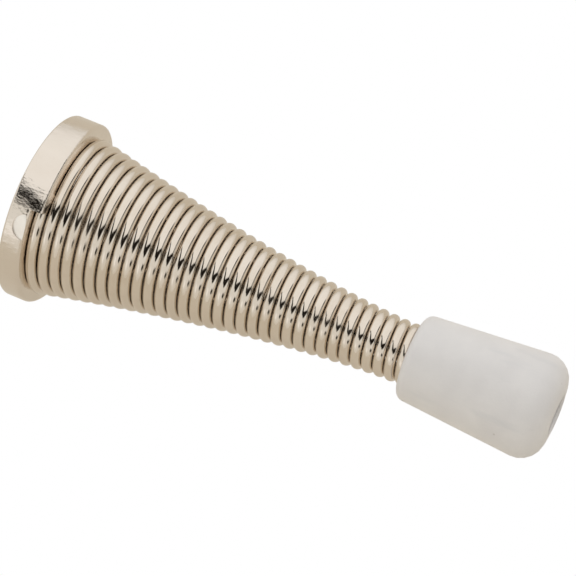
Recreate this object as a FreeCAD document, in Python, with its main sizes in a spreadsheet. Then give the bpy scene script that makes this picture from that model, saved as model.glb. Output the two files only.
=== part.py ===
import FreeCAD, Part
import math
import os
import Sketcher
from FreeCAD import Vector

# A spring door stop for a baseboard: a die-cast round base, a close-wound spring that flares
# out towards the base, and a vinyl bumper cap pushed onto the spring's small end.
# +X runs from the wall to the cap, +Z is up, and the origin is on the screw hole's axis in the
# plane of the wall. All sizes are in millimetres and degrees. An azimuth is counted about +X,
# from +Y towards +Z, so 90 is the top, 180 is the -Y side and 270 is the bottom.

DRIVING_SIZES = {
    # base casting
    "rim_radius": 13.75,
    "rim_front_round": 0.6,
    "rim_back_round": 0.35,
    "seat_low": 3.1,
    "seat_cut_margin": 0.06,
    "seat_inner_radius": 10.4,
    "hub_foot_radius": 10.3,
    "hub_top_radius": 9.9,
    "hub_height": 6.2,
    "hub_top_round": 0.3,
    "hub_bore_radius": 7.8,
    "hub_floor": 4.0,
    "screw_hole_radius": 2.2,
    "screw_hole_length": 2.2,
    "countersink_radius": 4.0,
    "relief_inner_radius": 5.6,
    "relief_outer_radius": 11.6,
    "relief_depth": 1.2,
    "rib_width": 1.4,
    "rib_overlap": 0.4,
    "mark_radius": 1.9,
    "mark_from_wall": 3.1,
    "mark_azimuth": 134,
    "mark_depth": 0.24,
    # spring wire, 1/16 inch, wound right-handed
    "wire_radius": 0.79375,
    "pitch": 1.667,
    "first_coil_from_wall": 3.92,
    "first_azimuth": 122.5,
    "seat_coil_radius": 11.6,
    "tip_coil_radius": 3.6,
    "flare_start": 3.0,
    "flare_length": 54,
    "flare_power": 1.53,
    "seat_turn_angle": 507.5,
    "coil_turn_angle": 240,
    "tip_turn_angle": 2790,
    "cut_gap": 0.03,
    # bumper cap
    "cap_back": 57.6,
    "cap_nose": 79.375,
    "cap_back_radius": 6.2,
    "cap_nose_radius": 7.78,
    "cap_dome_radius": 34,
    "cap_nose_round": 3.1,
    "cap_back_round": 1.2,
    "cap_hole_radius": 2.6,
    "cap_hole_round": 0.45,
    "cap_bore_radius": 4.49,
    "cap_bore_depth": 12.4,
}
RIB_COUNT = 4
COIL_COUNT = 44             # flexing lengths of wire between the seat turns and the tip turns
VOLUME_TOLERANCE = 0.01     # share by which a wire may differ from its section times its length

doc = FreeCAD.newDocument("spring_door_stop")
sheet = doc.addObject("Spreadsheet::Sheet", "Sizes")
for row, (alias, value) in enumerate(DRIVING_SIZES.items(), start=1):
    sheet.set(f"A{row}", alias)
    sheet.set(f"B{row}", str(value))
    sheet.setAlias(f"B{row}", alias)
doc.recompute()


def evaluate(expression):
    """The plain number that an expression on the sheet's cells gives."""
    return float(sheet.evalExpression(expression))


def bind(item, **expressions):
    """Bind properties of one document object to expressions on the sheet's cells."""
    for name, expression in expressions.items():
        item.setExpression(name, expression)


def turned_about_x(azimuth):
    """A placement's rotation that carries local Z onto +X and local X onto an azimuth."""
    return f"rotation(vector(1; 0; 0); {azimuth}) * rotation(vector(1; 1; 1); 120)"


# ---------------------------------------------------------------- outlines and turned bodies

def pin_outline(sketch, corners, arcs):
    """Draw a closed outline and pin every corner to its two expressions.

    A corner is (across, up). An expression of "0" lies on the sketch's own axis, and None is
    left to the arc that meets that corner. arcs maps the number of the edge that leaves a
    corner to its arc: (centre across, centre up, radius). Arcs run anticlockwise.
    """
    number = [[evaluate(value) if value else 0 for value in corner] for corner in corners]
    for edge, (across, up, radius) in arcs.items():
        centre = (evaluate(across), evaluate(up))
        for corner in (edge, (edge + 1) % len(corners)):
            if corners[corner][0] is None:
                rise = number[corner][1] - centre[1]
                number[corner][0] = centre[0] + math.sqrt(evaluate(radius) ** 2 - rise ** 2)
    points = [Vector(across, up, 0) for across, up in number]
    for edge, start in enumerate(points):
        end = points[(edge + 1) % len(points)]
        if edge in arcs:
            centre = Vector(evaluate(arcs[edge][0]), evaluate(arcs[edge][1]), 0)
            circle = Part.Circle(centre, Vector(0, 0, 1), evaluate(arcs[edge][2]))
            first = math.atan2(start.y - centre.y, start.x - centre.x)
            last = math.atan2(end.y - centre.y, end.x - centre.x)
            sketch.addGeometry(Part.ArcOfCircle(circle, first, last), False)
        else:
            sketch.addGeometry(Part.LineSegment(start, end), False)
    for edge in range(len(points)):
        following = (edge + 1) % len(points)
        sketch.addConstraint(Sketcher.Constraint("Coincident", edge, 2, following, 1))
    for corner, expressions in enumerate(corners):
        pin_point(sketch, corner, 1, expressions)
    for edge, (across, up, radius) in arcs.items():
        if corners[edge][0] is None:
            pin_point(sketch, edge, 3, (across, up))
            pin_value(sketch, ("Radius", edge), radius)
        else:
            pin_point(sketch, edge, 3, (across, None))


def pin_value(sketch, arguments, expression):
    """Add one constraint whose value follows an expression."""
    constraint = sketch.addConstraint(Sketcher.Constraint(*arguments, evaluate(expression)))
    sketch.setExpression(f"Constraints[{constraint}]", expression)


def pin_point(sketch, edge, position, expressions):
    """Pin one point of an edge: 1 is its start, 3 its centre."""
    for kind, own_axis, expression in zip(("DistanceX", "DistanceY"), (-2, -1), expressions):
        if expression == "0":
            sketch.addConstraint(Sketcher.Constraint("PointOnObject", edge, position, own_axis))
        elif expression is not None:
            pin_value(sketch, (kind, -1, 1, edge, position), expression)


def turned_body(name, corners, arcs=None):
    """A body turned about +X from an outline of (distance from wall, radius) corners."""
    body = doc.addObject("PartDesign::Body", name)
    sketch = body.newObject("Sketcher::SketchObject", name + "_outline")
    plane = next(item for item in body.Origin.OriginFeatures if item.Role == "XY_Plane")
    sketch.AttachmentSupport = [(plane, "")]
    sketch.MapMode = "FlatFace"
    pin_outline(sketch, corners, arcs or {})
    turned = body.newObject("PartDesign::Revolution", name + "_turned")
    turned.Profile = sketch
    turned.ReferenceAxis = (sketch, ["H_Axis"])
    turned.Angle = 360
    doc.recompute()
    return body


def round_rim(body, along, radius, amount):
    """Round the circular edge of a turned body that lies at one distance and radius."""
    wanted_along = evaluate(along)
    wanted_radius = evaluate(radius)
    edges = []
    for index, edge in enumerate(body.Tip.Shape.Edges, start=1):
        curve = edge.Curve
        if isinstance(curve, Part.Circle) and abs(curve.Radius - wanted_radius) < 1e-4:
            if abs(curve.Center.x - wanted_along) < 1e-4:
                edges.append(f"Edge{index}")
    before = body.Tip
    fillet = body.newObject("PartDesign::Fillet", "round_" + amount)
    fillet.Base = (before, edges)
    fillet.setExpression("Radius", f"Sizes.{amount}")
    doc.recompute()
    assert edges and fillet.Shape.Volume != before.Shape.Volume, amount


# ---------------------------------------------------------------- base casting

def make_base():
    """The die-cast base: rim, hub with a countersunk hole, ribbed back and helical seat."""
    front = "Sizes.seat_low + Sizes.pitch"
    blank = turned_body("base_blank", [
        ("0", "Sizes.screw_hole_radius"),
        ("Sizes.screw_hole_length", "Sizes.screw_hole_radius"),
        ("Sizes.hub_floor", "Sizes.countersink_radius"),
        ("Sizes.hub_floor", "Sizes.hub_bore_radius"),
        ("Sizes.hub_height", "Sizes.hub_bore_radius"),
        ("Sizes.hub_height", "Sizes.hub_top_radius"),
        (front, "Sizes.hub_foot_radius"),
        (front, "Sizes.rim_radius"),
        ("0", "Sizes.rim_radius"),
        ("0", "Sizes.relief_outer_radius"),
        ("Sizes.relief_depth", "Sizes.relief_outer_radius"),
        ("Sizes.relief_depth", "Sizes.relief_inner_radius"),
        ("0", "Sizes.relief_inner_radius"),
    ])
    round_rim(blank, "0", "Sizes.rim_radius", "rim_back_round")
    round_rim(blank, "Sizes.hub_height", "Sizes.hub_top_radius", "hub_top_round")

    ribs = []
    for index in range(RIB_COUNT):
        rib = doc.addObject("Part::Box", f"rib_{index + 1}")
        angle = f"{index} * 360 / {RIB_COUNT}"
        inner = "Sizes.relief_inner_radius - Sizes.rib_overlap"
        bind(rib,
             Length="Sizes.relief_depth",
             Width="Sizes.relief_outer_radius - Sizes.relief_inner_radius + 2 * Sizes.rib_overlap",
             Height="Sizes.rib_width",
             Placement=f"placement(vector(0; 0; 0); rotation(vector(1; 0; 0); {angle}))"
                       f" * placement(vector(0; {inner}; -Sizes.rib_width / 2); rotation(0; 0; 0))")
        ribs.append(rib)
    casting = doc.addObject("Part::MultiFuse", "base_casting")
    casting.Shapes = [blank] + ribs

    base = casting
    for tool in [make_seat_cut(half) for half in range(2)] + [make_rim_mark()]:
        cut = doc.addObject("Part::Cut", "base_less_" + tool.Name)
        cut.Base = base
        cut.Tool = tool
        base = cut
    base.Label = "base"
    return base


def make_seat_cut(half):
    """The space above the helical seat, which climbs by one pitch in one turn from the step.

    It is made in two halves of a turn, because its end lies over its start.
    """
    name = f"seat_half_{half + 1}"
    path = doc.addObject("Part::Helix", name + "_path")
    level = f"Sizes.seat_low + {half} * Sizes.pitch / 2"
    azimuth = f"Sizes.first_azimuth + {half} * 180"
    bind(path, Pitch="Sizes.pitch", Height="Sizes.pitch / 2", Radius="Sizes.rim_radius",
         Placement=f"placement(vector({level}; 0; 0); {turned_about_x(azimuth)})")
    path.SegmentLength = 0
    section = doc.addObject("Sketcher::SketchObject", name + "_section")
    edge_round = "Sizes.rim_front_round"
    shoulder = f"Sizes.rim_radius - {edge_round}"
    outside = "Sizes.rim_radius + Sizes.pitch"
    top = "Sizes.pitch + Sizes.seat_cut_margin"
    # drawn with the seat's level on the sketch's own axis; the quarter round is the rim's edge
    pin_outline(section, [
        ("Sizes.seat_inner_radius", "0"),
        ("Sizes.seat_inner_radius", top),
        (outside, top),
        (outside, f"-{edge_round}"),
        ("Sizes.rim_radius", f"-{edge_round}"),
        (shoulder, "0"),
    ], {4: (shoulder, f"-{edge_round}", edge_round)})
    upright = "placement(vector(0; 0; 0); rotation(vector(1; 0; 0); 90))"
    section.setExpression("Placement", f"{path.Name}.Placement * {upright}")
    cut = doc.addObject("Part::Sweep", name)
    cut.Sections = [section]
    cut.Spine = (path, ["Edge1"])
    cut.Solid = True
    cut.Frenet = True
    return cut


def make_rim_mark():
    """The round flat on the rim's side, beside the step where the wire's end stops."""
    mark = doc.addObject("Part::Cylinder", "rim_mark")
    floor = "(Sizes.rim_radius - Sizes.mark_depth)"
    bind(mark, Radius="Sizes.mark_radius", Height="2 * Sizes.mark_radius",
         Placement=f"placement(vector(Sizes.mark_from_wall; {floor} * cos(Sizes.mark_azimuth);"
                   f" {floor} * sin(Sizes.mark_azimuth));"
                   f" rotation(vector(1; 0; 0); Sizes.mark_azimuth - 90))")
    return mark


# ---------------------------------------------------------------- spring wire

def axial(turned):
    """Distance from the wall of the wire's centre after it has turned through an angle."""
    return f"(Sizes.first_coil_from_wall + Sizes.pitch * ({turned}) / 360)"


def coil_radius(turned):
    """The spring's flare: the radius of the wire's centre after an angle."""
    run = f"max(0; 1 - ({axial(turned)} - Sizes.flare_start) / Sizes.flare_length)"
    flare = "(Sizes.seat_coil_radius - Sizes.tip_coil_radius)"
    return f"(Sizes.tip_coil_radius + {flare} * {run} ^ Sizes.flare_power)"


def make_wire(name, first_turned, span):
    """One length of the wire, cut square at both ends, from one angle for a further span."""
    half_gap = f"(Sizes.cut_gap / 2 / {coil_radius(first_turned)} * 180 / pi)"
    start = f"({first_turned} + {half_gap})"
    end = f"({first_turned} + {span} - {half_gap})"
    rise = f"({axial(end)} - {axial(start)})"
    path = doc.addObject("Part::Helix", name + "_path")
    azimuth = f"Sizes.first_azimuth + {start}"
    bind(path, Pitch="Sizes.pitch", Height=rise, Radius=coil_radius(start),
         Angle=f"atan(({coil_radius(end)} - {coil_radius(start)}) / {rise})",
         Placement=f"placement(vector({axial(start)}; 0; 0); {turned_about_x(azimuth)})")
    path.SegmentLength = 0
    section = doc.addObject("Part::Circle", name + "_section")
    lead = f"atan({path.Name}.Pitch / (2 * pi * {path.Name}.Radius))"
    bind(section, Radius="Sizes.wire_radius",
         Placement=f"{path.Name}.Placement * placement(vector({path.Name}.Radius; 0; 0);"
                   f" rotation(vector(1; 0; 0); {lead} - 90 deg))")
    wire = doc.addObject("Part::Sweep", name)
    wire.Sections = [section]
    wire.Spine = (path, ["Edge1"])
    wire.Solid = True
    wire.Frenet = True
    return wire


def make_spring():
    """The wire from the base to the tip: seat turns, flexing coils and tip turns."""
    seat_end = "Sizes.seat_turn_angle"
    wires = [make_wire("spring_seat_turns", "0", seat_end)]
    for index in range(COIL_COUNT):
        first = f"{seat_end} + {index} * Sizes.coil_turn_angle"
        wires.append(make_wire(f"spring_coil_{index + 1:02d}", first, "Sizes.coil_turn_angle"))
    first = f"{seat_end} + {COIL_COUNT} * Sizes.coil_turn_angle"
    wires.append(make_wire("spring_tip_turns", first, "Sizes.tip_turn_angle"))
    return wires


# ---------------------------------------------------------------- bumper cap

def make_cap():
    """The moulded vinyl cap: open at the back, domed at the nose, with a hole through it."""
    bore_end = "Sizes.cap_back + Sizes.cap_bore_depth"
    dome_centre = "Sizes.cap_nose - Sizes.cap_dome_radius"
    cap = turned_body("bumper_cap", [
        ("Sizes.cap_back", "Sizes.cap_bore_radius"),
        (bore_end, "Sizes.cap_bore_radius"),
        (bore_end, "Sizes.cap_hole_radius"),
        (None, "Sizes.cap_hole_radius"),
        (None, "Sizes.cap_nose_radius"),
        ("Sizes.cap_back", "Sizes.cap_back_radius"),
    ], {3: (dome_centre, "0", "Sizes.cap_dome_radius")})
    dome = f"{dome_centre} + sqrt(Sizes.cap_dome_radius ^ 2 - Sizes.%s ^ 2)"
    round_rim(cap, dome % "cap_nose_radius", "Sizes.cap_nose_radius", "cap_nose_round")
    round_rim(cap, dome % "cap_hole_radius", "Sizes.cap_hole_radius", "cap_hole_round")
    round_rim(cap, "Sizes.cap_back", "Sizes.cap_back_radius", "cap_back_round")
    return cap


# ---------------------------------------------------------------- check and write

subparts = [make_base()] + make_spring() + [make_cap()]
doc.recompute()
for item in doc.Objects:
    assert "Invalid" not in item.State and "Error" not in item.State, (item.Name, item.State)
for subpart in subparts:
    shape = subpart.Shape
    assert not shape.isNull() and shape.isValid(), subpart.Label
    assert len(shape.Solids) == 1, subpart.Label
    if subpart.TypeId == "Part::Sweep":
        path = subpart.Spine[0]
        expected = math.pi * evaluate("Sizes.wire_radius") ** 2 * path.Shape.Length
        assert abs(shape.Volume / expected - 1) < VOLUME_TOLERANCE, subpart.Label

os.makedirs("parts", exist_ok=True)
for subpart in subparts:
    subpart.Shape.exportStep(f"parts/{subpart.Label}.step")
    print(f"{subpart.Label}: {subpart.Shape.Volume:.2f} mm3")
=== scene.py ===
import math

import bmesh
import bpy
from mathutils import Matrix, Vector


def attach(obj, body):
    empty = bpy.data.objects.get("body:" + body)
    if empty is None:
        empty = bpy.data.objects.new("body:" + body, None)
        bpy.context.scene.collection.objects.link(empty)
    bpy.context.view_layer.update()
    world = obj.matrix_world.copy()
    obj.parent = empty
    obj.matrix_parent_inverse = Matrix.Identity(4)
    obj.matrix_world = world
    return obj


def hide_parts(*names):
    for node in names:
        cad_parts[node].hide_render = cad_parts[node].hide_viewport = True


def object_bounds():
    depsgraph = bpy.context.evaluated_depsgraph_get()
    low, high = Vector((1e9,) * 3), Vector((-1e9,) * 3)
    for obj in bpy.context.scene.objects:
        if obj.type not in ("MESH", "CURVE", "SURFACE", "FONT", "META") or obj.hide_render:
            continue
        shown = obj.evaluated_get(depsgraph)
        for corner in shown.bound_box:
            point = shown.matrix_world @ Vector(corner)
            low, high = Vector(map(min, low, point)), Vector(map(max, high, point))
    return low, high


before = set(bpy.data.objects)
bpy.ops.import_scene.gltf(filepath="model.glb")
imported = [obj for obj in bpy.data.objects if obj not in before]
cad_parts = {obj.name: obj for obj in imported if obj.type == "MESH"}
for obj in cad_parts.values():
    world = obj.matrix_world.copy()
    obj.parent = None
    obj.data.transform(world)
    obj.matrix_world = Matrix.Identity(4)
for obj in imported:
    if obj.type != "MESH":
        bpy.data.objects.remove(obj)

cad_low, cad_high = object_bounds()


# ---------------------------------------------------------------- base casting
# The base is die-cast zinc with bright nickel plate. A screw through its middle holds it to
# the wall, and its helical seat climbs by one wire pitch in one turn, so the spring's first
# turn beds down all the way round. It is modelled lathe-fashion, then the seat is wound up.

MM = 0.001
TURN_STEPS = 180                    # facets round each turned surface

seat_start = math.radians(122.5)    # azimuth of the step where the wire's end stops
seat_low = 3.1 * MM
seat_pitch = 1.667 * MM
front_round = 0.6 * MM
belt = seat_low - front_round       # where the rim's side ends at the low end of the seat
foot_radius = 10.3 * MM

# corners of the turned outline, as (distance from wall, radius), in order round the metal
base_outline = [
    (0.0, 2.2), (2.2, 2.2), (4.0, 4.0), (4.0, 7.8), (6.2, 7.8), (6.2, 9.9), (4.767, 10.3),
    (3.1, 10.4), (3.1, 13.75), (2.5, 13.75), (0.0, 13.75), (0.0, 11.6), (1.2, 11.6),
    (1.2, 5.6), (0.0, 5.6),
]
# (distance from wall, radius, round) of the turned edges that aren't left sharp
base_rounds = [
    (0.0, 13.75, 0.35), (6.2, 9.9, 0.3), (6.2, 7.8, 0.3), (4.0, 7.8, 0.25), (4.0, 4.0, 0.12),
    (0.0, 11.6, 0.15), (0.0, 5.6, 0.15), (0.0, 2.2, 0.15), (3.1, 13.75, 0.599),
]


def distance_from_axis(point):
    """Radius of a point about the screw hole's axis, which is the frame's X."""
    return math.hypot(point.y, point.z)


def spin_outline(bm, outline, start):
    """Turn a closed outline of (distance from wall, radius), in mm, once about X, left open
    at the start azimuth. Gives the points of the last column, which lie on the first."""
    points = [
        bm.verts.new((x * MM, r * MM * math.cos(start), r * MM * math.sin(start)))
        for x, r in outline
    ]
    edges = [bm.edges.new((points[i - 1], points[i])) for i in range(len(points))]
    turn = bmesh.ops.spin(
        bm, geom=points + edges, cent=(0, 0, 0), axis=(1, 0, 0), angle=2 * math.pi,
        steps=TURN_STEPS, use_merge=False)
    return [v for v in turn["geom_last"] if isinstance(v, bmesh.types.BMVert)]


def round_turned_edges(bm, rounds):
    """Bevel the turned edges that lie at (distance from wall, radius) by each one's round."""
    for x, r, amount in rounds:
        at_corner = [
            e for e in bm.edges
            if all(abs(v.co.x - x * MM) < 2e-6 and abs(distance_from_axis(v.co) - r * MM) < 2e-6
                   for v in e.verts)
        ]
        bmesh.ops.bevel(
            bm, geom=at_corner, offset=amount * MM, affect="EDGES", segments=5, profile=0.5,
            material=-1, clamp_overlap=False)


def shade_by_angle(bm, limit):
    """Smooth faces with hard edges wherever two faces meet at more than a limit."""
    for face in bm.faces:
        face.smooth = True
    for edge in bm.edges:
        edge.smooth = len(edge.link_faces) == 2 and edge.calc_face_angle(0) < math.radians(limit)


def finish_mesh(bm, name):
    """Store a bmesh as a new object at the origin, and give the object."""
    mesh = bpy.data.meshes.new(name)
    bm.to_mesh(mesh)
    bm.free()
    piece = bpy.data.objects.new(name, mesh)
    bpy.context.scene.collection.objects.link(piece)
    return piece


bm = bmesh.new()
spin_outline(bm, base_outline, seat_start)
round_turned_edges(bm, base_rounds)
for v in bm.verts:
    if v.co.x > belt + 1e-7 and distance_from_axis(v.co) > foot_radius + 5e-5:
        turned = (math.atan2(v.co.z, v.co.y) - seat_start) % (2 * math.pi)
        if turned < 1e-4 or turned > 2 * math.pi - 1e-4:
            # both ends of the seat lie here: the end column's faces are at a smaller azimuth
            away = sum((f.calc_center_median() for f in v.link_faces), Vector()) / len(v.link_faces)
            before = (math.atan2(away.z, away.y) - seat_start) % (2 * math.pi) > math.pi
            turned = 2 * math.pi if before else 0.0
        v.co.x += seat_pitch * turned / (2 * math.pi)
bmesh.ops.remove_doubles(bm, verts=bm.verts, dist=1e-6)
step_edges = [e for e in bm.edges if e.is_boundary]
bmesh.ops.contextual_create(bm, geom=step_edges)
# four stiffening ribs across the hollow in the back
for quarter in range(4):
    rib = bmesh.ops.create_cube(bm, size=1.0)["verts"]
    bmesh.ops.scale(bm, vec=(1.39 * MM, 6.8 * MM, 1.4 * MM), verts=rib)
    bmesh.ops.translate(bm, vec=(0.705 * MM, 8.6 * MM, 0), verts=rib)
    bmesh.ops.rotate(
        bm, cent=(0, 0, 0), matrix=Matrix.Rotation(quarter * math.pi / 2, 3, "X"), verts=rib)
    rib_edges = [e for e in bm.edges if e.verts[0] in rib and e.verts[1] in rib]
    bmesh.ops.bevel(
        bm, geom=rib_edges, offset=0.12 * MM, affect="EDGES", segments=3, profile=0.5,
        material=-1)
bmesh.ops.recalc_face_normals(bm, faces=bm.faces)
base = finish_mesh(bm, "base_casting")

# the round flat beside the step, where the casting was pushed out of its die
mark_azimuth = math.radians(134)
mark_radius = 1.9 * MM
mark_depth = 0.24 * MM
mark_tilt = math.radians(3.5)
mark_tool_half = 1.0 * MM
mark_place = (
    Matrix.Rotation(mark_azimuth - math.pi / 2, 4, "X")
    @ Matrix.Translation((seat_low, 0, 13.75 * MM - mark_depth))
    @ Matrix.Rotation(mark_tilt, 4, "X")
    @ Matrix.Translation((0, 0, mark_tool_half)))
bm = bmesh.new()
bmesh.ops.create_cone(
    bm, cap_ends=True, segments=64, radius1=mark_radius, radius2=mark_radius,
    depth=2 * mark_tool_half)
bmesh.ops.transform(bm, verts=bm.verts, matrix=mark_place)
bmesh.ops.recalc_face_normals(bm, faces=bm.faces)
mark_tool = finish_mesh(bm, "mark_tool")
cut = base.modifiers.new("mark", "BOOLEAN")
cut.operation = "DIFFERENCE"
cut.solver = "EXACT"
cut.use_self = True         # the ribs run into the hub and the rim, and become one body here
cut.object = mark_tool
bpy.context.view_layer.update()
cut_mesh = bpy.data.meshes.new_from_object(
    base.evaluated_get(bpy.context.evaluated_depsgraph_get()))
base.modifiers.clear()
bpy.data.objects.remove(mark_tool)
bm = bmesh.new()
bm.from_mesh(cut_mesh)
shade_by_angle(bm, 32)
# faces on the flat take the second material, whose near-white colour is a painted highlight
for face in bm.faces:
    from_mark = mark_place.inverted() @ face.calc_center_median()
    on_flat = abs(from_mark.z + mark_tool_half) < 1e-6
    if on_flat and math.hypot(from_mark.x, from_mark.y) < mark_radius:
        face.material_index = 1
bm.to_mesh(base.data)
bm.free()
bpy.data.meshes.remove(cut_mesh)


def effect_group(name, inputs, outputs):
    """A new shader node group with named inputs (name, kind, value) and outputs (name, kind)."""
    group = bpy.data.node_groups.new(name, "ShaderNodeTree")
    for label, kind, value in inputs:
        socket = group.interface.new_socket(label, in_out="INPUT", socket_type=kind)
        if value is not None:
            socket.default_value = value
    for label, kind in outputs:
        group.interface.new_socket(label, in_out="OUTPUT", socket_type=kind)
    return group, group.nodes.new("NodeGroupInput"), group.nodes.new("NodeGroupOutput")


def join(tree, start, socket, end, into):
    """Link one node's output to another's input, each by name or number."""
    tree.links.new(start.outputs[socket], end.inputs[into])


# plating: slow ripples in the polish, a fine cast tooth under the plate, and faint warm haze
plating, given, made = effect_group(
    "plating",
    [("Vector", "NodeSocketVector", None),
     ("Ripple size", "NodeSocketFloat", 500.0),
     ("Tooth size", "NodeSocketFloat", 3000.0),
     ("Tooth amount", "NodeSocketFloat", 0.25),
     ("Clean colour", "NodeSocketColor", (0.80, 0.74, 0.67, 1)),
     ("Hazed colour", "NodeSocketColor", (0.74, 0.66, 0.57, 1)),
     ("Polished", "NodeSocketFloat", 0.06),
     ("Dull", "NodeSocketFloat", 0.16)],
    [("Color", "NodeSocketColor"), ("Roughness", "NodeSocketFloat"),
     ("Height", "NodeSocketFloat")])
ripple = plating.nodes.new("ShaderNodeTexNoise")
ripple.inputs["Detail"].default_value = 2.0
ripple.inputs["Roughness"].default_value = 0.45
join(plating, given, "Vector", ripple, "Vector")
join(plating, given, "Ripple size", ripple, "Scale")
tooth = plating.nodes.new("ShaderNodeTexNoise")
tooth.inputs["Detail"].default_value = 4.0
tooth.inputs["Roughness"].default_value = 0.6
join(plating, given, "Vector", tooth, "Vector")
join(plating, given, "Tooth size", tooth, "Scale")
height = plating.nodes.new("ShaderNodeMath")
height.operation = "MULTIPLY_ADD"
join(plating, tooth, "Fac", height, 0)
join(plating, given, "Tooth amount", height, 1)
join(plating, ripple, "Fac", height, 2)
haze = plating.nodes.new("ShaderNodeTexNoise")
haze.inputs["Scale"].default_value = 180.0
haze.inputs["Detail"].default_value = 5.0
haze.inputs["Roughness"].default_value = 0.65
join(plating, given, "Vector", haze, "Vector")
patches = plating.nodes.new("ShaderNodeMapRange")
patches.inputs["From Min"].default_value = 0.40
patches.inputs["From Max"].default_value = 0.68
join(plating, haze, "Fac", patches, "Value")
tint = plating.nodes.new("ShaderNodeMix")
tint.data_type = "RGBA"
join(plating, patches, "Result", tint, "Factor")
join(plating, given, "Clean colour", tint, 6)
join(plating, given, "Hazed colour", tint, 7)
gloss = plating.nodes.new("ShaderNodeMapRange")
join(plating, patches, "Result", gloss, "Value")
join(plating, given, "Polished", gloss, "To Min")
join(plating, given, "Dull", gloss, "To Max")
join(plating, tint, 2, made, "Color")
join(plating, gloss, "Result", made, "Roughness")
join(plating, height, "Value", made, "Height")


def plated_metal(name, drawn_out, bump_distance, **values):
    """A bright nickel material whose colour, gloss and fine relief come from the plating."""
    material = bpy.data.materials.new(name)
    material.use_nodes = True
    tree = material.node_tree
    shader = tree.nodes["Principled BSDF"]
    shader.inputs["Metallic"].default_value = 1.0
    where = tree.nodes.new("ShaderNodeTexCoord")
    stretch = tree.nodes.new("ShaderNodeMapping")
    stretch.inputs["Scale"].default_value = (drawn_out, 1.0, 1.0)
    join(tree, where, "Object", stretch, "Vector")
    finish = tree.nodes.new("ShaderNodeGroup")
    finish.node_tree = plating
    for label, value in values.items():
        finish.inputs[label.replace("_", " ").capitalize()].default_value = value
    join(tree, stretch, "Vector", finish, "Vector")
    bump = tree.nodes.new("ShaderNodeBump")
    bump.inputs["Distance"].default_value = bump_distance
    join(tree, finish, "Height", bump, "Height")
    join(tree, finish, "Color", shader, "Base Color")
    join(tree, finish, "Roughness", shader, "Roughness")
    join(tree, bump, "Normal", shader, "Normal")
    return material


base.data.materials.append(plated_metal(
    "plated_casting", 0.5, 0.05 * MM, ripple_size=1100.0, tooth_size=3200.0,
    tooth_amount=0.55, clean_colour=(0.81, 0.745, 0.675, 1),
    hazed_colour=(0.78, 0.71, 0.635, 1), polished=0.02, dull=0.06))
# the flat is satin, and its metal is coloured near white, lighter than the rest of the plate: a
# painted highlight
base.data.materials.append(plated_metal(
    "satin_flat_painted_highlight", 1.0, 0.004 * MM, ripple_size=900.0, tooth_size=5200.0,
    tooth_amount=0.6, clean_colour=(0.97, 0.94, 0.90, 1),
    hazed_colour=(0.94, 0.90, 0.85, 1), polished=0.34, dull=0.42))
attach(base, "base")
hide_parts("base")


# ---------------------------------------------------------------- spring
# The spring is one piece of 1/16 inch steel wire, wound right-handed and tight, trumpet
# shaped, and nickel plated. It is shown in the lengths that flex against each other: the
# turns on the seat, forty-four lengths of two thirds of a turn, and the turns at the tip.

wire_radius = 0.79375 * MM
wire_sides = 24
steps_per_turn = 120
first_coil = 3.92 * MM
coil_pitch = 1.667 * MM
first_azimuth = math.radians(122.5)
seat_span = math.radians(507.5)
coil_span = math.radians(240)
tip_span = math.radians(2790)
coil_count = 44
tip_radius = 3.6 * MM               # of the wire's centre, in the straight end
flare_growth = 8 * MM               # added to that at the wide end
flare_start = 3 * MM
flare_length = 54 * MM
flare_power = 1.53


def coil_level(turned):
    """Distance from the wall of the wire's centre after it has turned through an angle."""
    return first_coil + coil_pitch * turned / (2 * math.pi)


def coil_radius(turned):
    """The trumpet: the radius of the wire's centre after an angle."""
    run = max(0.0, 1 - (coil_level(turned) - flare_start) / flare_length)
    return tip_radius + flare_growth * run ** flare_power


def wind_wire(name, body, first, span):
    """Wind one length of wire from an angle through a span: its round end is spun about the
    spring's axis while it climbs and draws in, and both ends are cut square."""
    azimuth = first_azimuth + first
    outward = Vector((0, math.cos(azimuth), math.sin(azimuth)))
    forward = Vector((0, -math.sin(azimuth), math.cos(azimuth)))
    radius = coil_radius(first)
    lead = math.atan(coil_pitch / (2 * math.pi * radius))
    along = forward * math.cos(lead) + Vector((1, 0, 0)) * math.sin(lead)
    across = along.cross(outward)
    middle = outward * radius + Vector((coil_level(first), 0, 0))
    place = Matrix((outward, across, along)).transposed().to_4x4()
    place.translation = middle
    bm = bmesh.new()
    end = bmesh.ops.create_circle(
        bm, cap_ends=True, radius=wire_radius, segments=wire_sides, matrix=place)
    geom = end["verts"] + list(bm.edges) + list(bm.faces)
    climb = coil_pitch / (2 * math.pi)
    draw = (coil_radius(first + span) - radius) / span
    turned = 0.0
    # a very short step at each end keeps the shading true right up to the cut
    short = math.radians(0.05)
    count = round(steps_per_turn * span / (2 * math.pi))
    for angle, steps in ((short, 1), (span - 2 * short, count), (short, 1)):
        here = Vector((0, math.cos(azimuth + turned), math.sin(azimuth + turned)))
        step = angle / steps
        geom = bmesh.ops.spin(
            bm, geom=geom, cent=(0, 0, 0), axis=(1, 0, 0), angle=angle, steps=steps,
            dvec=(Vector((1, 0, 0)) * climb + here * draw) * step)["geom_last"]
        turned += angle
    bmesh.ops.recalc_face_normals(bm, faces=bm.faces)
    for face in bm.faces:
        face.smooth = len(face.verts) == 4
        if len(face.verts) > 4:
            for edge in face.edges:
                edge.smooth = False
    wire = finish_mesh(bm, name)
    wire.data.materials.append(bright_wire)
    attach(wire, body)
    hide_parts(name)
    wire.name = name + "_wire"
    return wire


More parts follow.
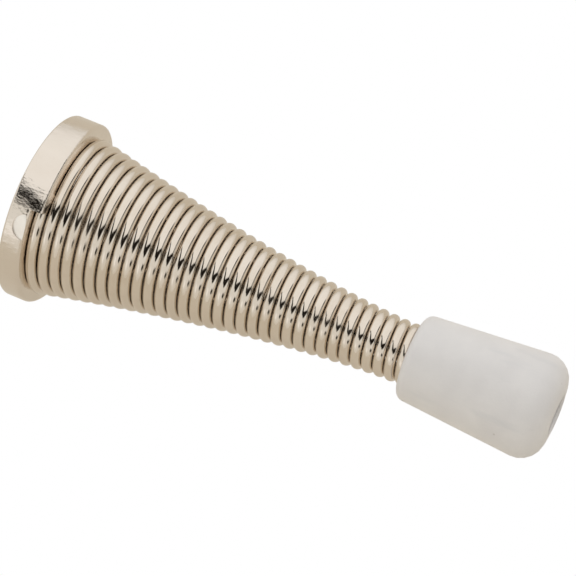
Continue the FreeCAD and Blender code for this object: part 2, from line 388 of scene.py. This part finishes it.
bright_wire = plated_metal(
    "plated_wire", 1.0, 0.006 * MM, ripple_size=700.0, tooth_size=4200.0,
    tooth_amount=0.2, clean_colour=(0.79, 0.72, 0.64, 1), hazed_colour=(0.74, 0.66, 0.57, 1),
    polished=0.08, dull=0.17)
wind_wire("spring_seat_turns", "base", 0.0, seat_span)
for number in range(coil_count):
    name = f"spring_coil_{number + 1:02d}"
    wind_wire(name, name, seat_span + number * coil_span, coil_span)
wind_wire("spring_tip_turns", "spring_tip", seat_span + coil_count * coil_span, tip_span)


# ---------------------------------------------------------------- bumper cap
# The bumper is one moulding of soft white vinyl, open at the back and pushed over the
# spring's small end. Its nose is domed with a round hole through it.

cap_outline = [
    (57.6, 4.49), (70.0, 4.49), (70.0, 2.6), (78.473, 2.6), (78.473, 7.78), (57.6, 6.2),
]
cap_rounds = [
    (78.473, 7.78, 3.1), (57.6, 6.2, 1.2), (57.6, 4.49, 0.2), (70.0, 4.49, 0.2),
]
dome_radius = 34 * MM
nose_radius = 7.78 * MM
dome_edge = math.sqrt(dome_radius ** 2 - nose_radius ** 2)
bm = bmesh.new()
spin_outline(bm, cap_outline, 0.0)
bmesh.ops.remove_doubles(bm, verts=bm.verts, dist=1e-6)
bmesh.ops.recalc_face_normals(bm, faces=bm.faces)
round_turned_edges(bm, cap_rounds)
# rings across the flat nose let it swell into a shallow dome, which carries the round with it
nose = [e for e in bm.edges if min(v.co.x for v in e.verts) > 78.4 * MM
        and abs(distance_from_axis(e.verts[0].co) - distance_from_axis(e.verts[1].co)) > 1 * MM]
bmesh.ops.subdivide_edges(bm, edges=nose, cuts=8, use_grid_fill=True)
for v in bm.verts:
    out = distance_from_axis(v.co)
    if v.co.x > 74 * MM and out < nose_radius:
        share = 1.0 if out > 2.7 * MM or v.co.x > 78.4 * MM else 0.0
        v.co.x += share * (math.sqrt(dome_radius ** 2 - out ** 2) - dome_edge)
lip_level = 78.473 + (math.sqrt(34 ** 2 - 2.6 ** 2) - math.sqrt(34 ** 2 - 7.78 ** 2))
round_turned_edges(bm, [(lip_level, 2.6, 0.4)])
shade_by_angle(bm, 35)
cap = finish_mesh(bm, "vinyl_cap")

vinyl = bpy.data.materials.new("white_vinyl")
vinyl.use_nodes = True
tree = vinyl.node_tree
shader = tree.nodes["Principled BSDF"]
shader.inputs["Roughness"].default_value = 0.5
where = tree.nodes.new("ShaderNodeTexCoord")
cloud = tree.nodes.new("ShaderNodeTexNoise")
cloud.inputs["Scale"].default_value = 220.0
cloud.inputs["Detail"].default_value = 5.0
join(tree, where, "Object", cloud, "Vector")
shades = tree.nodes.new("ShaderNodeValToRGB")
shades.color_ramp.elements[0].position = 0.3
shades.color_ramp.elements[0].color = (0.80, 0.785, 0.79, 1)
shades.color_ramp.elements[1].position = 0.7
shades.color_ramp.elements[1].color = (0.86, 0.845, 0.845, 1)
join(tree, cloud, "Fac", shades, "Fac")
along_cap = tree.nodes.new("ShaderNodeMapping")
along_cap.inputs["Scale"].default_value = (0.22, 1.0, 1.0)
join(tree, where, "Object", along_cap, "Vector")
flow = tree.nodes.new("ShaderNodeTexNoise")
flow.inputs["Scale"].default_value = 420.0
flow.inputs["Detail"].default_value = 3.0
join(tree, along_cap, "Vector", flow, "Vector")
flow_marks = tree.nodes.new("ShaderNodeMapRange")
flow_marks.inputs["From Min"].default_value = 0.60
flow_marks.inputs["From Max"].default_value = 0.78
flow_marks.inputs["To Max"].default_value = 0.55
join(tree, flow, "Fac", flow_marks, "Value")
flowed = tree.nodes.new("ShaderNodeMix")
flowed.data_type = "RGBA"
flowed.inputs[7].default_value = (0.71, 0.715, 0.735, 1)
join(tree, flow_marks, "Result", flowed, "Factor")
join(tree, shades, "Color", flowed, 6)
dots = tree.nodes.new("ShaderNodeTexVoronoi")
dots.inputs["Scale"].default_value = 330.0
join(tree, where, "Object", dots, "Vector")
specks = tree.nodes.new("ShaderNodeMapRange")
specks.inputs["From Min"].default_value = 0.045
specks.inputs["From Max"].default_value = 0.075
specks.inputs["To Min"].default_value = 0.5
specks.inputs["To Max"].default_value = 0.0
join(tree, dots, "Distance", specks, "Value")
specked = tree.nodes.new("ShaderNodeMix")
specked.data_type = "RGBA"
specked.inputs[7].default_value = (0.52, 0.50, 0.48, 1)
join(tree, specks, "Result", specked, "Factor")
join(tree, flowed, 2, specked, 6)
join(tree, specked, 2, shader, "Base Color")
grain = tree.nodes.new("ShaderNodeTexNoise")
grain.inputs["Scale"].default_value = 2600.0
grain.inputs["Detail"].default_value = 3.0
join(tree, where, "Object", grain, "Vector")
bump = tree.nodes.new("ShaderNodeBump")
bump.inputs["Distance"].default_value = 0.02 * MM
join(tree, grain, "Fac", bump, "Height")
join(tree, bump, "Normal", shader, "Normal")
cap.data.materials.append(vinyl)
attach(cap, "bumper_cap")
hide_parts("bumper_cap")


# ---------------------------------------------------------------- studio
# A plain pale floor, as far below the stop as a baseboard holds it, which leaves room for
# the spring to bend down. Round it are a soft white light, a warm fill and dark frames.

bend_room = 36 * MM
floor_level = cad_low.z - bend_room
bm = bmesh.new()
bmesh.ops.create_grid(bm, x_segments=1, y_segments=1, size=1.5)
bmesh.ops.translate(bm, vec=(0.04, 0, floor_level), verts=bm.verts)
floor = finish_mesh(bm, "floor")
paper = bpy.data.materials.new("white_paper")
paper.use_nodes = True
tree = paper.node_tree
tree.nodes.remove(tree.nodes["Principled BSDF"])
output = tree.nodes["Material Output"]
seen = tree.nodes.new("ShaderNodeEmission")
seen.inputs["Color"].default_value = (1, 1, 1, 1)
seen.inputs["Strength"].default_value = 1.0
matt = tree.nodes.new("ShaderNodeBsdfDiffuse")
matt.inputs["Color"].default_value = (0.83, 0.77, 0.67, 1)
light_path = tree.nodes.new("ShaderNodeLightPath")
choose = tree.nodes.new("ShaderNodeMixShader")
join(tree, light_path, "Is Camera Ray", choose, 0)
join(tree, matt, "BSDF", choose, 1)
join(tree, seen, "Emission", choose, 2)
join(tree, choose, "Shader", output, "Surface")
floor.data.materials.append(paper)

# what stands round the object: directions are told by lean, the angle towards +X, and by
# turn, the azimuth about X, both in degrees
world = bpy.data.worlds.new("studio")
bpy.context.scene.world = world
world.use_nodes = True
tree = world.node_tree


def reckon(operation, a, b=None, c=None):
    """One Math node in the studio's tree. Each input is a number or another node's output."""
    node = tree.nodes.new("ShaderNodeMath")
    node.operation = operation
    for index, value in enumerate((a, b, c)):
        if isinstance(value, (int, float)):
            node.inputs[index].default_value = value
        elif value is not None:
            tree.links.new(value, node.inputs[index])
    return node.outputs[0]


def inside(distance, half, soft):
    """1 where a distance is well within half, fading to 0 over a soft edge."""
    node = tree.nodes.new("ShaderNodeMapRange")
    node.interpolation_type = "SMOOTHSTEP"
    for label, value in (("Value", distance), ("From Min", half), ("To Min", 1.0),
                         ("To Max", 0.0)):
        if isinstance(value, (int, float)):
            node.inputs[label].default_value = value
        else:
            tree.links.new(value, node.inputs[label])
    tree.links.new(reckon("ADD", half, soft), node.inputs["From Max"])
    return node.outputs["Result"]


def mixed(share, under, over):
    """A colour that goes from one to another by a share. Each is a colour or an output."""
    node = tree.nodes.new("ShaderNodeMix")
    node.data_type = "RGBA"
    tree.links.new(share, node.inputs["Factor"])
    for socket, value in ((6, under), (7, over)):
        if isinstance(value, tuple):
            node.inputs[socket].default_value = (*value, 1)
        else:
            tree.links.new(value, node.inputs[socket])
    return node.outputs[2]


facing = tree.nodes.new("ShaderNodeSeparateXYZ")
join(tree, tree.nodes.new("ShaderNodeTexCoord"), "Generated", facing, "Vector")
lean = reckon("DEGREES", reckon("ARCSINE", facing.outputs["X"]))
turn = reckon("DEGREES", reckon("ARCTAN2", facing.outputs["Z"], facing.outputs["Y"]))
turn = reckon("MODULO", reckon("ADD", turn, 420.0), 360.0)      # 60 more than the azimuth
light = tree.nodes.new("ShaderNodeValToRGB")
stops = [
    (0, (0.70, 0.68, 0.62)), (60, (0.74, 0.72, 0.67)), (76, (0.93, 0.91, 0.88)),
    (90, (0.97, 0.96, 0.93)),
    (110, (1.0, 0.985, 0.955)), (160, (0.99, 0.975, 0.945)), (186, (0.83, 0.815, 0.765)),
    (214, (0.84, 0.82, 0.775)), (240, (0.76, 0.72, 0.64)), (262, (0.667, 0.611, 0.505)),
    (360, (0.64, 0.585, 0.48)),
]
for place, colour in stops:
    stop = light.color_ramp.elements.new(place / 360)
    stop.color = (*colour, 1)
light.color_ramp.elements.remove(light.color_ramp.elements[0])
light.color_ramp.elements.remove(light.color_ramp.elements[-1])
tree.links.new(reckon("DIVIDE", turn, 360.0), light.inputs["Fac"])
studio_light = light.outputs["Color"]
# the overhead light ends towards the cap, with a dark frame
past_frame = reckon("MULTIPLY", inside(reckon("SUBTRACT", 62.0, lean), 0.0, 4.0),
                    inside(reckon("ABSOLUTE", reckon("SUBTRACT", turn, 125.0)), 50.0, 10.0))
studio_light = mixed(past_frame, studio_light, (0.55, 0.53, 0.48))
frame_end = reckon(
    "MULTIPLY", inside(reckon("ABSOLUTE", reckon("SUBTRACT", lean, 57.0)), 3.5, 3.0),
    inside(reckon("ABSOLUTE", reckon("SUBTRACT", turn, 120.0)), 45.0, 8.0))
# its near edge and the gap in front of it make a dark bar that sags past the camera
sag = reckon("POWER", reckon("SUBTRACT", lean, 15.0), 2.0)
bar_middle = reckon("SUBTRACT", 185.0, reckon("MULTIPLY", sag, 0.0068))
bar_half = reckon("ADD", 4.6, reckon("MULTIPLY", 6.5, inside(
    reckon("ABSOLUTE", reckon("SUBTRACT", lean, 36.0)), 8.0, 34.0)))
bar_half = reckon("ADD", bar_half, reckon("MULTIPLY", 3.5, inside(
    reckon("ABSOLUTE", reckon("ADD", lean, 22.0)), 10.0, 12.0)))
bar = inside(reckon("ABSOLUTE", reckon("SUBTRACT", turn, bar_middle)), bar_half, 2.5)
# a stand beyond the cap
along_stand = reckon("ADD", reckon("MULTIPLY", reckon("SUBTRACT", lean, 54.0), 0.78),
                     reckon("MULTIPLY", reckon("SUBTRACT", turn, 227.0), 0.62))
off_stand = reckon("SUBTRACT", reckon("MULTIPLY", reckon("SUBTRACT", turn, 227.0), 0.78),
                   reckon("MULTIPLY", reckon("SUBTRACT", lean, 54.0), 0.62))
stand = reckon("MULTIPLY", inside(reckon("ABSOLUTE", along_stand), 17.0, 6.0),
               inside(reckon("ABSOLUTE", off_stand), 4.5, 3.5))
dark = reckon("MAXIMUM", reckon("MAXIMUM", bar, frame_end), stand)
studio_light = mixed(dark, studio_light, (0.012, 0.010, 0.008))
# a small lamp low in front
lamp = reckon("MULTIPLY", inside(reckon("ABSOLUTE", reckon("ADD", lean, 20.0)), 6.0, 18.0),
              inside(reckon("ABSOLUTE", reckon("SUBTRACT", turn, 221.0)), 5.0, 6.0))
studio_light = mixed(lamp, studio_light, (1.02, 1.0, 0.96))
light_path = tree.nodes.new("ShaderNodeLightPath")
studio_light = mixed(light_path.outputs["Is Camera Ray"], studio_light, (1.0, 1.0, 1.0))
tree.links.new(studio_light, tree.nodes["Background"].inputs["Color"])

camera = bpy.data.objects.new("camera", bpy.data.cameras.new("camera"))
bpy.context.scene.collection.objects.link(camera)
bpy.context.scene.camera = camera
camera.data.lens = 150
camera.data.sensor_width = 36
camera.data.clip_start = 0.01
camera.data.clip_end = 10
camera.location = (0.1093, -0.1497, 0.2926)
camera.rotation_euler = (math.radians(90 - 60.1), 0, math.radians(25.24))
bpy.context.scene.view_settings.view_transform = "Standard"
